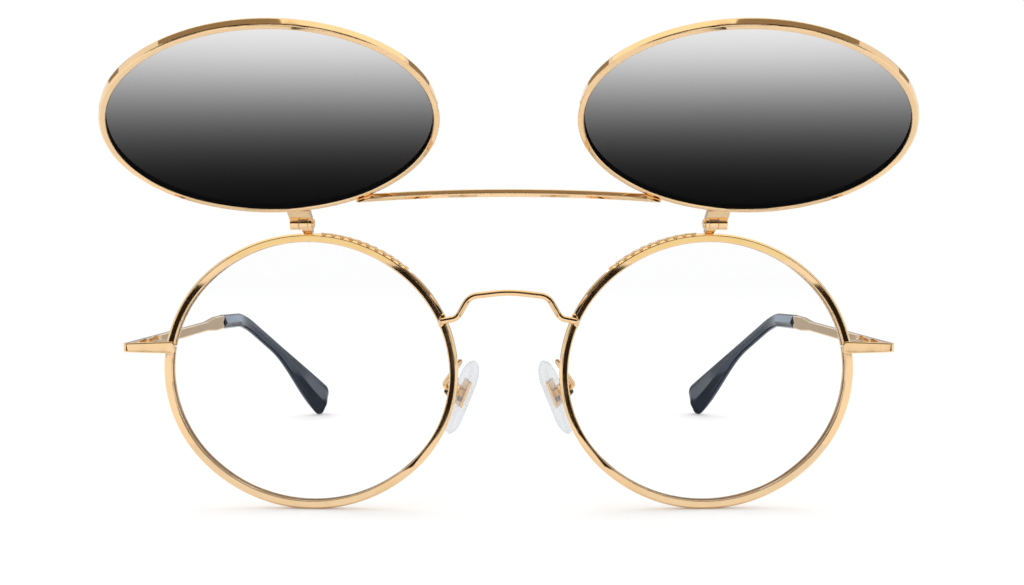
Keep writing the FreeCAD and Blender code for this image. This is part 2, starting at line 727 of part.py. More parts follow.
def flip_hinge_pin():
    """Slotted pin through the ears and the knuckle."""
    start = Vector(inner_ear_start, flip_axis.y, flip_axis.z)
    pin = slotted_screw(start, Vector(1, 0, 0), hinge_width,
                        flip_pin_radius, flip_pin_head_radius, flip_pin_head_height)
    return placed(pin, flip)


def flip_hinge_post():
    """Knuckle on an arm whose foot is soldered on top of the main rim."""
    top = rim_height / 2
    half = flip_post_thickness / 2
    foot_front = (rim_depth - flip_post_foot) / 2
    foot_back = (rim_depth + flip_post_foot) / 2
    side = [(flip_axis.y, flip_axis.z + half), (foot_back, top + flip_post_thickness),
            (foot_back, top - rim_wall), (foot_front, top - rim_wall),
            (foot_front, top), (flip_axis.y, flip_axis.z - half)]
    outline = [Vector(knuckle_start, depth, rise) for depth, rise in side]
    arm = extruded(outline, Vector(flip_knuckle_width, 0, 0))
    solid = arm.fuse(along_hinge(knuckle_start, knuckle_end, flip_knuckle_radius)).removeSplitter()
    hole = along_hinge(knuckle_start, knuckle_end, flip_pin_radius + running_clearance)
    return placed(solid.cut(hole), front).cut(main_rim_plug())


paired = {
    "main_rim": main_rim(), "clear_lens": clear_lens(), "end_piece": end_piece(),
    "upper_closing_block": closing_block(1), "lower_closing_block": closing_block(-1),
    "rim_lock_screw": rim_lock_screw(), "front_hinge_knuckle": front_hinge_knuckle(),
    "temple_hinge_screw": temple_hinge_screw(), "temple_hinge_knuckle": temple_hinge_knuckle(),
    "temple": temple(), "temple_tip": temple_tip(),
    "pad_arm": pad_arm(), "pad_box": pad_box(), "pad_screw": pad_screw(),
    "pad_insert": pad_insert(), "nose_pad": nose_pad(),
    "flip_hinge_post": flip_hinge_post(), "flip_hinge_leaf": flip_hinge_leaf(),
    "flip_hinge_pin": flip_hinge_pin(), "flip_detent_spring": flip_detent_spring(),
    "flip_rim": flip_rim(), "tinted_lens": tinted_lens()}
pieces = {"bridge": bridge(), "brow_bar": brow_bar()}
for name, shape in paired.items():
    pieces["right_" + name] = shape
    pieces["left_" + name] = mirrored(shape)

# The origin is on the table, under the middle of the whole object.
boxes = [shape.optimalBoundingBox(False) for shape in pieces.values()]
middle = (min(box.YMin for box in boxes) + max(box.YMax for box in boxes)) / 2
origin = Vector(0, middle, min(box.ZMin for box in boxes))

os.makedirs("parts", exist_ok=True)
for name, shape in pieces.items():
    shape.translated(origin * -1).exportStep("parts/" + name + ".step")

print("flip axis", front.multVec(flip_axis) - origin, "swing", flip_swing)
print("temple hinge axis", hinge_axis - origin)
print("pad screw", pad.multVec(Vector(pad_screw_place, 0, 0)) - origin)
print("pad screw direction", pad.Rotation.multVec(Vector(0, 1, 0)))
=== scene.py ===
import json
import math

import bpy
from mathutils import Matrix, Vector


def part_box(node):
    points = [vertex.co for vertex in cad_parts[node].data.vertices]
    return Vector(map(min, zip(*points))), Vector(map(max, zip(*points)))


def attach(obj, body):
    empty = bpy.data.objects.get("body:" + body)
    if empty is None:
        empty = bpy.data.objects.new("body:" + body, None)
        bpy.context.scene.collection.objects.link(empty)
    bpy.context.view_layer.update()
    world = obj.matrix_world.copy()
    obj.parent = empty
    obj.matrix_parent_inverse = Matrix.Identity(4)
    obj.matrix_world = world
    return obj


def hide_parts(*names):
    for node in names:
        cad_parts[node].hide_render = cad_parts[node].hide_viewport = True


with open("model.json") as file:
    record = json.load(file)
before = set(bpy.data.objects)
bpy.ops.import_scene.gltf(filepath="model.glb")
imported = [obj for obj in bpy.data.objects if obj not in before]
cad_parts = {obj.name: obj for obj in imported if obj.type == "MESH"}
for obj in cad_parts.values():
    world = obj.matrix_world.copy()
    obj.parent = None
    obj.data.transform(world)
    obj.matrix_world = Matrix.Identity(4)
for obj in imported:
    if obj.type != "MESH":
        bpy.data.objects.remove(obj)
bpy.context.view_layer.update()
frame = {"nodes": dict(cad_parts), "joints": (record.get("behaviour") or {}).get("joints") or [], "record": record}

bl_info = {
    "name": "Flip Up Sunglasses",
    "version": (1, 0, 0),
    "blender": (4, 5, 0),
    "location": "View3D > Sidebar > Sunglasses",
    "description": "Finishes and soft pieces of a pair of round wire sunglasses with a flip up front",
    "category": "Object",
}

SIDES = {"left": -1.0, "right": 1.0}
ORIGIN = (0.0, 0.0, 0.0)
WHITE = (1.0, 1.0, 1.0, 1.0)
STEEL_TONE = (0.50, 0.50, 0.52, 1.0)
DULL_STEEL_TONE = (0.40, 0.40, 0.42, 1.0)
# Least reach upwards of the normal on the outer face of a tinted lens
OUTER_FACE = 0.3
# Points that lie closer than this are one point
MERGE_GAP = 1e-7
# Stations through a pad, from its screw side to its nose side: depth as a share of half its
# thickness, and outline as a share of its full size
PAD_STATIONS = (
    (1.0, 0.80), (0.86, 0.90), (0.62, 0.965), (0.32, 0.995), (0.04, 1.0), (0.03, 1.012),
    (-0.03, 1.012), (-0.04, 1.0), (-0.32, 0.985), (-0.60, 0.94), (-0.82, 0.85), (-0.93, 0.72),
    (-0.98, 0.52), (-1.0, 0.25),
)
PAD_END_SEGMENTS = 12
# How far a fillet of solder lies in front of the bridge's back, as a share of the wire's width
SOLDER_INSET = 0.15
# Heights and depths that several of the mirrored boards share
ON_FLOOR = (0.0002, 0.0006)
OVERHEAD = (0.4, 0.41)
BESIDE_CAMERA = (-0.262, -0.248)
BEHIND_CAMERA = (-0.275, -0.265)
# Inner edge of the dark strip in front of each rim, as distance from the middle and depth
NOSE_SHADE = (
    (0.0241, -0.0602), (0.0219, -0.066), (0.0209, -0.091), (0.0213, -0.1125), (0.0250, -0.1475),
    (0.0307, -0.1835), (0.0437, -0.248),
)
NOSE_SHADE_WIDTH = 0.008
# How far the tops of the low lens boards lean out, and how far the ceilings step back at the middle
LENS_BOARD_LEAN = 0.0145
CEILING_STEP = 0.151
JOINTS = {joint["name"]: joint for joint in frame["joints"]}
SLOT_OF_NODE = {part["node"]: part["material_slot"] for part in frame["record"]["subparts"]}


# Sizes and colours that a user would change


class GoldSettings(bpy.types.PropertyGroup):
    """The polished gold plate of the wire frame"""

    tone: bpy.props.FloatVectorProperty(
        name="Gold", description="Colour of the plate", subtype="COLOR", size=4, min=0.0,
        max=1.0, default=(0.86, 0.605, 0.35, 1.0))
    warm_tone: bpy.props.FloatVectorProperty(
        name="Warm Gold", description="Colour where the plate is thicker", subtype="COLOR",
        size=4, min=0.0, max=1.0, default=(0.84, 0.575, 0.315, 1.0))
    roughness: bpy.props.FloatProperty(
        name="Roughness", description="Roughness of clean plate", subtype="FACTOR", min=0.0,
        max=1.0, default=0.02)
    rubbed_roughness: bpy.props.FloatProperty(
        name="Rubbed Roughness", description="Roughness where fingers have rubbed the plate",
        subtype="FACTOR", min=0.0, max=1.0, default=0.05)
    edge_radius: bpy.props.FloatProperty(
        name="Edge Radius", description="Rounding of the polished edges", subtype="DISTANCE",
        unit="LENGTH", min=0.0, default=0.00024)


class LensSettings(bpy.types.PropertyGroup):
    """The clear lenses of the front and the tinted lenses of the flip frame"""

    clear_tone: bpy.props.FloatVectorProperty(
        name="Clear", description="Colour of the clear lenses", subtype="COLOR", size=4,
        min=0.0, max=1.0, default=(0.50, 0.56, 0.60, 1.0))
    clear_cover: bpy.props.FloatProperty(
        name="Clear Cover", description="How much a clear lens hides, seen straight on",
        subtype="FACTOR", min=0.0, max=1.0, default=0.005)
    clear_edge: bpy.props.FloatProperty(
        name="Clear Edge", description="How much more a clear lens hides at a slant",
        subtype="FACTOR", min=0.0, max=1.0, default=0.4)
    tint_tone: bpy.props.FloatVectorProperty(
        name="Tint", description="Colour of the dye", subtype="COLOR", size=4, min=0.0, max=1.0,
        default=(0.0022, 0.0022, 0.0024, 1.0))
    tint_density: bpy.props.FloatProperty(
        name="Tint Density", description="Optical density of the dye at the hinge line",
        min=0.0, max=6.0, default=3.36)
    tint_least: bpy.props.FloatProperty(
        name="Least Density", description="Optical density where the dye has faded out",
        min=0.0, max=1.0, default=0.07)
    tint_shade: bpy.props.FloatProperty(
        name="Tint Shade", description="How much of the dye shows in the lenses' shadow",
        subtype="FACTOR", min=0.0, max=1.0, default=0.1)
    tint_fade: bpy.props.FloatProperty(
        name="Fade Rise",
        description="Rise above the hinge line at which the dye has faded out",
        subtype="DISTANCE", unit="LENGTH", min=0.001, default=0.0311)
    tint_lean: bpy.props.FloatProperty(
        name="Dip Lean", description="Lean of the bath that the lenses were dipped in",
        subtype="ANGLE", default=math.radians(6.9))
    tint_curve: bpy.props.FloatProperty(
        name="Fade Curve", description="How slowly the dye starts to show", min=0.5, max=4.0,
        default=1.78)
    tint_coat: bpy.props.FloatProperty(
        name="Coat",
        description="Strength of the polish on the outer faces of the tinted lenses",
        subtype="FACTOR", min=0.0, max=1.0, default=0.8)


class TipSettings(bpy.types.PropertyGroup):
    """The moulded tips over the ends of the temples"""

    tone: bpy.props.FloatVectorProperty(
        name="Tip", description="Colour of the tips", subtype="COLOR", size=4, min=0.0, max=1.0,
        default=(0.0075, 0.0115, 0.0215, 1.0))
    cloud_tone: bpy.props.FloatVectorProperty(
        name="Cloud", description="Colour of the faint clouds in the tips", subtype="COLOR",
        size=4, min=0.0, max=1.0, default=(0.0115, 0.0165, 0.0285, 1.0))
    shine_tone: bpy.props.FloatVectorProperty(
        name="Shine", description="Colour of the shine on the tips", subtype="COLOR", size=4,
        min=0.0, max=1.0, default=(0.60, 0.76, 1.0, 1.0))
    roughness: bpy.props.FloatProperty(
        name="Roughness", description="Roughness of the polished tips", subtype="FACTOR",
        min=0.0, max=1.0, default=0.16)


class PadSettings(bpy.types.PropertyGroup):
    """The soft nose pads"""

    width: bpy.props.FloatProperty(
        name="Width", description="Breadth of a pad", subtype="DISTANCE", unit="LENGTH",
        default=0.0070)
    height: bpy.props.FloatProperty(
        name="Height", description="Length of a pad", subtype="DISTANCE", unit="LENGTH",
        default=0.0142)
    thickness: bpy.props.FloatProperty(
        name="Thickness", description="Thickness of a pad", subtype="DISTANCE", unit="LENGTH",
        default=0.0019)
    lug_reach: bpy.props.FloatProperty(
        name="Lug Reach", description="From the middle of a pad to its screw",
        subtype="DISTANCE", unit="LENGTH", default=0.0020)
    hang: bpy.props.FloatProperty(
        name="Hang", description="How far a pad hangs below its screw", subtype="DISTANCE",
        unit="LENGTH", default=0.0009)
    frontal_angle: bpy.props.FloatProperty(
        name="Frontal Angle", description="Lean of a pad, seen from the front", subtype="ANGLE",
        default=math.radians(22.0))
    splay_angle: bpy.props.FloatProperty(
        name="Splay Angle", description="Turn of a pad, seen from above", subtype="ANGLE",
        default=math.radians(18.0))
    end_rounding: bpy.props.FloatProperty(
        name="End Rounding", description="Rounding of a pad's ends, as a share of its width",
        subtype="FACTOR", min=0.1, max=0.5, default=0.47)
    tone: bpy.props.FloatVectorProperty(
        name="Silicone", description="Colour of the silicone", subtype="COLOR", size=4, min=0.0,
        max=1.0, default=(0.53, 0.59, 0.66, 1.0))
    cloud_tone: bpy.props.FloatVectorProperty(
        name="Cloud", description="Colour of the faint clouds in the silicone", subtype="COLOR",
        size=4, min=0.0, max=1.0, default=(0.60, 0.65, 0.72, 1.0))
    cover: bpy.props.FloatProperty(
        name="Cover", description="How much a pad hides, seen straight on", subtype="FACTOR",
        min=0.0, max=1.0, default=0.15)
    edge_cover: bpy.props.FloatProperty(
        name="Edge Cover", description="How much more a pad hides at its edges",
        subtype="FACTOR", min=0.0, max=1.0, default=0.5)


class MillingSettings(bpy.types.PropertyGroup):
    """The rope milling on the upper nose side of each main rim"""

    first_turn: bpy.props.FloatProperty(
        name="First Turn",
        description="Where the milling starts, round the rim from its outer side",
        subtype="ANGLE", default=math.radians(97.0))
    last_turn: bpy.props.FloatProperty(
        name="Last Turn", description="Where the milling ends", subtype="ANGLE",
        default=math.radians(127.5))
    strands: bpy.props.IntProperty(
        name="Strands", description="Number of slanted strands on a rim", min=2, max=60,
        default=10)
    slant: bpy.props.FloatProperty(
        name="Slant", description="Slant of a strand across the rim", subtype="ANGLE",
        default=math.radians(42.0))
    strand_length: bpy.props.FloatProperty(
        name="Strand Length", description="Length of a strand", subtype="DISTANCE",
        unit="LENGTH", default=0.0023)
    strand_width: bpy.props.FloatProperty(
        name="Strand Width", description="Breadth of a strand", subtype="DISTANCE",
        unit="LENGTH", default=0.0009)
    strand_height: bpy.props.FloatProperty(
        name="Strand Height", description="Height of a strand above the rim",
        subtype="DISTANCE", unit="LENGTH", default=0.00019)
    strand_rounding: bpy.props.FloatProperty(
        name="Strand Rounding",
        description="Rounding of a strand's edges, as a share of its height", subtype="FACTOR",
        min=0.0, max=1.0, default=0.84)


class SolderSettings(bpy.types.PropertyGroup):
    """The fillets of solder where the bridge meets the main rims"""

    width: bpy.props.FloatProperty(
        name="Width", description="Breadth of a fillet", subtype="DISTANCE", unit="LENGTH",
        default=0.0012)
    depth: bpy.props.FloatProperty(
        name="Depth", description="Depth of a fillet, front to back", subtype="DISTANCE",
        unit="LENGTH", default=0.0012)
    height: bpy.props.FloatProperty(
        name="Height", description="Height of a fillet", subtype="DISTANCE", unit="LENGTH",
        default=0.0025)
    lean: bpy.props.FloatProperty(
        name="Lean", description="Lean of a fillet, along the rim", subtype="ANGLE",
        default=math.radians(16.0))
    cut: bpy.props.FloatProperty(
        name="Cut",
        description="From a fillet's middle to its flat back, as a share of its depth",
        subtype="FACTOR", min=0.0, max=0.5, default=0.3)
    end_gap: bpy.props.FloatProperty(
        name="End Gap", description="From the end of the bridge wire to the middle of a fillet",
        subtype="DISTANCE", unit="LENGTH", default=0.0006)


class FrontSettings(bpy.types.PropertyGroup):
    """How the front is bent"""

    lean: bpy.props.FloatProperty(
        name="Lean", description="Forward lean of the front", subtype="ANGLE",
        default=math.radians(3.2))
    wrap: bpy.props.FloatProperty(
        name="Wrap", description="Turn of each main rim round the face", subtype="ANGLE",
        default=math.radians(3.0))
    open_angle: bpy.props.FloatProperty(
        name="Open Angle", description="Rise of the flip frame when it is up", subtype="ANGLE",
        default=math.radians(28.2))


class StudioSettings(bpy.types.PropertyGroup):
    """Floor, light and camera"""

    floor_tone: bpy.props.FloatVectorProperty(
        name="Floor", description="Colour of the floor", subtype="COLOR", size=4, min=0.0,
        max=1.0, default=(0.995, 0.995, 0.995, 1.0))
    shadow_share: bpy.props.FloatProperty(
        name="Shadow Share", description="How much of the floor's own shading shows",
        subtype="FACTOR", min=0.0, max=1.0, default=0.9)
    mirror_share: bpy.props.FloatProperty(
        name="Mirror Share", description="How much of the floor's even white the metal mirrors",
        subtype="FACTOR", min=0.0, max=1.0, default=0.6)
    sky_level: bpy.props.FloatProperty(
        name="Sky Level", description="Strength of the even light", min=0.0, max=2.0,
        default=1.0)
    top_level: bpy.props.FloatProperty(
        name="Top Light", description="Power of the light overhead", unit="POWER", default=1.2)
    top_place: bpy.props.FloatVectorProperty(
        name="Top Light Place", description="Place of the light overhead",
        subtype="TRANSLATION", unit="LENGTH", default=(0.0, -0.05, 0.75))
    top_size: bpy.props.FloatVectorProperty(
        name="Top Light Size", description="Width and depth of the light overhead",
        subtype="XYZ", unit="LENGTH", size=2, default=(0.7, 0.5))
    board_tone: bpy.props.FloatVectorProperty(
        name="Board", description="Colour of the dark boards that the metal mirrors",
        subtype="COLOR", size=4, min=0.0, max=1.0, default=(0.025, 0.018, 0.014, 1.0))
    ceiling_tone: bpy.props.FloatVectorProperty(
        name="Ceiling", description="Colour of the dim ceiling round the light",
        subtype="COLOR", size=4, min=0.0, max=1.0, default=(0.34, 0.275, 0.19, 1.0))
    warm_tone: bpy.props.FloatVectorProperty(
        name="Bounce", description="Colour of the warm boards behind the camera",
        subtype="COLOR", size=4, min=0.0, soft_max=1.0, default=(1.05, 1.06, 0.82, 1.0))
    back_tone: bpy.props.FloatVectorProperty(
        name="Back Board",
        description="Colour of the dim boards behind, that the temples mirror", subtype="COLOR",
        size=4, min=0.0, max=1.0, default=(0.5, 0.5, 0.5, 1.0))
    softbox_tone: bpy.props.FloatVectorProperty(
        name="Softbox",
        description="Colour of the bright panel overhead that the metal mirrors",
        subtype="COLOR", size=4, min=0.0, soft_max=1.0, default=(1.3, 1.25, 1.05, 1.0))
    # The pale panels under the rims are painted light, a painted reflection of lit floor over the rims' shadow
    front_tone: bpy.props.FloatVectorProperty(
        name="Front Panel",
        description="Colour of the pale panels in front of the rims, that the metal mirrors",
        subtype="COLOR", size=4, min=0.0, soft_max=1.0, default=(1.0, 1.03, 1.08, 1.0))
    cool_tone: bpy.props.FloatVectorProperty(
        name="Back Panel", description="Colour of the cool panel behind, that the tips mirror",
        subtype="COLOR", size=4, min=0.0, soft_max=1.0, default=(1.3, 1.5, 1.75, 1.0))
    lens_length: bpy.props.FloatProperty(
        name="Focal Length", description="Focal length of the camera in millimetres",
        default=39.62)
    camera_place: bpy.props.FloatVectorProperty(
        name="Camera", description="Place of the camera", subtype="TRANSLATION", unit="LENGTH",
        default=(0.0, -0.23841, 0.0436))
    camera_dip: bpy.props.FloatProperty(
        name="Camera Dip", description="How far the camera looks down", subtype="ANGLE",
        default=math.radians(1.45))
    camera_shift: bpy.props.FloatProperty(
        name="Camera Shift", description="Sideways shift of the picture", default=0.0032)


# Node trees


def wire(tree, source, target):
    """Link an output to an input"""
    tree.links.new(source, target)


def number(tree, operation, first, second=None, clamp=False):
    """Math node on two sockets or numbers"""
    node = tree.nodes.new("ShaderNodeMath")
    node.operation = operation
    node.use_clamp = clamp
    for socket, value in zip(node.inputs, (first, second)):
        if value is None:
            continue
        if isinstance(value, bpy.types.NodeSocket):
            wire(tree, value, socket)
        else:
            socket.default_value = value
    return node.outputs[0]


def along(tree, vector, direction):
    """How far a vector reaches in a direction"""
    node = tree.nodes.new("ShaderNodeVectorMath")
    node.operation = "DOT_PRODUCT"
    node.inputs[1].default_value = direction
    wire(tree, vector, node.inputs[0])
    return node.outputs["Value"]


def spread(tree, value, low, high):
    """A value from 0 to 1, spread between two numbers"""
    node = tree.nodes.new("ShaderNodeMapRange")
    wire(tree, value, node.inputs["Value"])
    node.inputs["To Min"].default_value = low
    node.inputs["To Max"].default_value = high
    return node.outputs["Result"]


def blended(tree, share, first, second):
    """Colour between two colours"""
    node = tree.nodes.new("ShaderNodeMix")
    node.data_type = "RGBA"
    wire(tree, share, node.inputs["Factor"])
    colour_sockets = [socket for socket in node.inputs if socket.type == "RGBA"]
    colour_sockets[0].default_value = first
    colour_sockets[1].default_value = second
    return [socket for socket in node.outputs if socket.type == "RGBA"][0]


def new_finish(name):
    """Plain material, with its node tree and its shader"""
    finish = bpy.data.materials.new(name)
    finish.use_nodes = True
    tree = finish.node_tree
    shader = tree.nodes["Principled BSDF"]
    return finish, tree, shader


def handling_group():
    """Marks of handling: fine polishing scratches, and soft smudges where fingers rest"""
    found = bpy.data.node_groups.get("handling_marks")
    if found:
        return found
    group = bpy.data.node_groups.new("handling_marks", "ShaderNodeTree")
    face = group.interface
    face.new_socket("Place", in_out="INPUT", socket_type="NodeSocketVector")
    face.new_socket("Smudge Scale", in_out="INPUT", socket_type="NodeSocketFloat")
    face.new_socket("Scratch Scale", in_out="INPUT", socket_type="NodeSocketFloat")
    face.new_socket("Smudge", in_out="OUTPUT", socket_type="NodeSocketFloat")
    face.new_socket("Scratch", in_out="OUTPUT", socket_type="NodeSocketFloat")
    entry = group.nodes.new("NodeGroupInput")
    leave = group.nodes.new("NodeGroupOutput")
    smudge = group.nodes.new("ShaderNodeTexNoise")
    smudge.inputs["Detail"].default_value = 3.0
    wire(group, entry.outputs["Place"], smudge.inputs["Vector"])
    wire(group, entry.outputs["Smudge Scale"], smudge.inputs["Scale"])
    stretch = group.nodes.new("ShaderNodeMapping")
    stretch.inputs["Scale"].default_value = (0.15, 1.0, 1.0)
    stretch.inputs["Rotation"].default_value = (0.3, 0.5, 0.4)
    wire(group, entry.outputs["Place"], stretch.inputs["Vector"])
    scratch = group.nodes.new("ShaderNodeTexNoise")
    scratch.inputs["Detail"].default_value = 4.0
    scratch.inputs["Roughness"].default_value = 0.7
    wire(group, stretch.outputs["Vector"], scratch.inputs["Vector"])
    wire(group, entry.outputs["Scratch Scale"], scratch.inputs["Scale"])
    sharper = group.nodes.new("ShaderNodeMapRange")
    sharper.inputs["From Min"].default_value = 0.35
    sharper.inputs["From Max"].default_value = 0.65
    wire(group, smudge.outputs["Fac"], sharper.inputs["Value"])
    wire(group, sharper.outputs["Result"], leave.inputs["Smudge"])
    wire(group, scratch.outputs["Fac"], leave.inputs["Scratch"])
    return group


def handling(tree, smudge_scale, scratch_scale):
    """The marks of handling on a material, in the coordinates of the object"""
    place = tree.nodes.new("ShaderNodeTexCoord").outputs["Object"]
    marks = tree.nodes.new("ShaderNodeGroup")
    marks.node_tree = handling_group()
    wire(tree, place, marks.inputs["Place"])
    marks.inputs["Smudge Scale"].default_value = smudge_scale
    marks.inputs["Scratch Scale"].default_value = scratch_scale
    return marks.outputs["Smudge"], marks.outputs["Scratch"]


def fine_bump(tree, height, strength, distance):
    """Normal of a finely marked surface"""
    bump = tree.nodes.new("ShaderNodeBump")
    bump.inputs["Strength"].default_value = strength
    bump.inputs["Distance"].default_value = distance
    wire(tree, height, bump.inputs["Height"])
    return bump


def polished_gold(gold):
    """Gold plate with polished edges"""
    found = bpy.data.materials.get("polished_gold")
    if found:
        return found
    finish, tree, shader = new_finish("polished_gold")
    smudge, scratch = handling(tree, smudge_scale=260.0, scratch_scale=2600.0)
    wire(tree, blended(tree, smudge, gold.tone, gold.warm_tone), shader.inputs["Base Color"])
    roughness = spread(tree, smudge, low=gold.roughness, high=gold.rubbed_roughness)
    wire(tree, roughness, shader.inputs["Roughness"])
    shader.inputs["Metallic"].default_value = 1.0
    edge = tree.nodes.new("ShaderNodeBevel")
    edge.samples = 8
    edge.inputs["Radius"].default_value = gold.edge_radius
    bump = fine_bump(tree, scratch, strength=0.012, distance=0.00001)
    wire(tree, edge.outputs["Normal"], bump.inputs["Normal"])
    wire(tree, bump.outputs["Normal"], shader.inputs["Normal"])
    return finish


def spring_steel():
    """Plain rolled steel"""
    finish, tree, shader = new_finish("spring_steel")
    smudge, scratch = handling(tree, smudge_scale=500.0, scratch_scale=5000.0)
    wire(tree, blended(tree, smudge, STEEL_TONE, DULL_STEEL_TONE), shader.inputs["Base Color"])
    wire(tree, spread(tree, scratch, low=0.22, high=0.42), shader.inputs["Roughness"])
    shader.inputs["Metallic"].default_value = 1.0
    return finish


def clear_lens(lens):
    """Clear lens that shows more at a slant"""
    finish, tree, shader = new_finish("clear_lens")
    smudge, _ = handling(tree, smudge_scale=60.0, scratch_scale=900.0)
    shader.inputs["Base Color"].default_value = lens.clear_tone
    wire(tree, spread(tree, smudge, low=0.01, high=0.05), shader.inputs["Roughness"])
    slant = tree.nodes.new("ShaderNodeLayerWeight")
    slant.inputs["Blend"].default_value = 0.25
    cover = number(tree, "MULTIPLY", slant.outputs["Fresnel"], lens.clear_edge)
    cover = number(tree, "ADD", cover, lens.clear_cover, clamp=True)
    wire(tree, cover, shader.inputs["Alpha"])
    return finish


def dye_cover(tree, lens):
    """How much of the light each face of a tinted lens takes, by its rise above the hinge line"""
    shifted = tree.nodes.new("ShaderNodeVectorMath")
    shifted.operation = "SUBTRACT"
    shifted.inputs[1].default_value = JOINTS["flip"]["pos_m"]
    wire(tree, tree.nodes.new("ShaderNodeTexCoord").outputs["Object"], shifted.inputs[0])
    away = (0.0, -math.sin(lens.tint_lean), math.cos(lens.tint_lean))
    rise = along(tree, shifted.outputs["Vector"], away)
    faded = number(tree, "DIVIDE", rise, lens.tint_fade, clamp=True)
    dyed = number(tree, "POWER", number(tree, "SUBTRACT", 1.0, faded), lens.tint_curve)
    density = number(tree, "MULTIPLY", dyed, lens.tint_density)
    density = number(tree, "ADD", density, lens.tint_least)
    # Light passes two faces, so each has half of the density
    through = number(tree, "POWER", 10.0, number(tree, "MULTIPLY", density, -0.5))
    return number(tree, "SUBTRACT", 1.0, through, clamp=True)


def tinted_lens(lens, front):
    """Lens dyed dark at the hinge line, fading out towards its free edge"""
    finish, tree, shader = new_finish("tinted_lens")
    smudge, _ = handling(tree, smudge_scale=60.0, scratch_scale=900.0)
    path = tree.nodes.new("ShaderNodeLightPath")
    shading = number(tree, "ADD", path.outputs["Is Shadow Ray"], path.outputs["Is Diffuse Ray"],
                     clamp=True)
    lightened = number(tree, "MULTIPLY", shading, 1.0 - lens.tint_shade)
    shade = number(tree, "SUBTRACT", 1.0, lightened)
    wire(tree, number(tree, "MULTIPLY", dye_cover(tree, lens), shade), shader.inputs["Alpha"])
    shader.inputs["Base Color"].default_value = lens.tint_tone
    wire(tree, spread(tree, smudge, low=0.02, high=0.06), shader.inputs["Roughness"])
    shader.inputs["Specular IOR Level"].default_value = 0.01
    # The coat is on the outer faces, which look up when the flip frame is up
    upwards = (0.0, math.sin(front.open_angle), math.cos(front.open_angle))
    facing = along(tree, tree.nodes.new("ShaderNodeTexCoord").outputs["Normal"], upwards)
    outside = number(tree, "GREATER_THAN", facing, OUTER_FACE)
    wire(tree, number(tree, "MULTIPLY", outside, lens.tint_coat), shader.inputs["Coat Weight"])
    shader.inputs["Coat Roughness"].default_value = 0.03
    return finish


def dark_tip(tips):
    """Polished navy black plastic with faint clouds"""
    finish, tree, shader = new_finish("dark_tip")
    smudge, scratch = handling(tree, smudge_scale=140.0, scratch_scale=1500.0)
    wire(tree, blended(tree, smudge, tips.tone, tips.cloud_tone), shader.inputs["Base Color"])
    roughness = spread(tree, scratch, low=0.7 * tips.roughness, high=1.3 * tips.roughness)
    wire(tree, roughness, shader.inputs["Roughness"])
    bump = fine_bump(tree, scratch, strength=0.06, distance=0.00003)
    wire(tree, bump.outputs["Normal"], shader.inputs["Normal"])
    shader.inputs["Specular Tint"].default_value = tips.shine_tone
    return finish


def clear_silicone(pads):
    """Clear soft silicone, milky at its edges"""
    finish, tree, shader = new_finish("clear_silicone")
    smudge, scratch = handling(tree, smudge_scale=420.0, scratch_scale=2400.0)
    wire(tree, blended(tree, smudge, pads.tone, pads.cloud_tone), shader.inputs["Base Color"])
    wire(tree, spread(tree, scratch, low=0.16, high=0.26), shader.inputs["Roughness"])
    slant = tree.nodes.new("ShaderNodeLayerWeight")
    slant.inputs["Blend"].default_value = 0.35
    cover = number(tree, "MULTIPLY", slant.outputs["Facing"], pads.edge_cover)
    cover = number(tree, "ADD", cover, pads.cover, clamp=True)
    wire(tree, cover, shader.inputs["Alpha"])
    bump = fine_bump(tree, smudge, strength=0.03, distance=0.00004)
    wire(tree, bump.outputs["Normal"], shader.inputs["Normal"])
    return finish


def dress(node, finish):
    """Give a node of the frame a finish"""
    for slot in frame["nodes"][node].material_slots:
        slot.material = finish


def nodes_of(slot):
    """Names of the nodes that have a material slot"""
    return sorted(node for node, name in SLOT_OF_NODE.items() if name == slot)


# Modelling


def clear_selection():
    """Leave edit mode and deselect everything"""
    if bpy.context.object and bpy.context.object.mode != "OBJECT":
        bpy.ops.object.mode_set(mode="OBJECT")
    bpy.ops.object.select_all(action="DESELECT")


def only(piece):
    """Select one object alone"""
    clear_selection()
    piece.select_set(True)
    bpy.context.view_layer.objects.active = piece


def named(piece, name):
    """Name an object and its mesh"""
    piece.name = name
    piece.data.name = name
    return piece


def settle(piece, place):
    """Move a piece that was modelled at the origin to its place, and keep that place in its mesh"""
    only(piece)
    piece.matrix_world = place @ piece.matrix_world
    bpy.ops.object.transform_apply(location=True, rotation=True, scale=True)


def twin(piece, name):
    """Mirror image of a piece on the other side of the nose"""
    only(piece)
    bpy.ops.object.duplicate()
    other = named(bpy.context.object, name)
    other.matrix_world = Matrix.Scale(-1.0, 4, (1.0, 0.0, 0.0)) @ other.matrix_world
    bpy.ops.object.transform_apply(location=True, rotation=True, scale=True)
    outward_faces(other)
    return other


def outward_faces(piece):
    """Merge the doubles of a piece and point its faces outwards"""
    only(piece)
    bpy.ops.object.mode_set(mode="EDIT")
    bpy.ops.mesh.select_all(action="SELECT")
    bpy.ops.mesh.remove_doubles(threshold=MERGE_GAP)
    bpy.ops.mesh.normals_make_consistent(inside=False)
    bpy.ops.object.mode_set(mode="OBJECT")


def pad_place(pads, front):
    """Place of the right pad's middle, from the screw that it rocks on"""
    turn = Matrix.Rotation(front.lean, 4, "X")
    turn = turn @ Matrix.Rotation(-pads.frontal_angle, 4, "Y")
    turn = turn @ Matrix.Rotation(-pads.splay_angle, 4, "Z")
    screw = Matrix.Translation(Vector(JOINTS["right_pad_rock"]["pos_m"]))
    return screw @ turn @ Matrix.Translation((-pads.lug_reach, 0.0, -pads.hang))


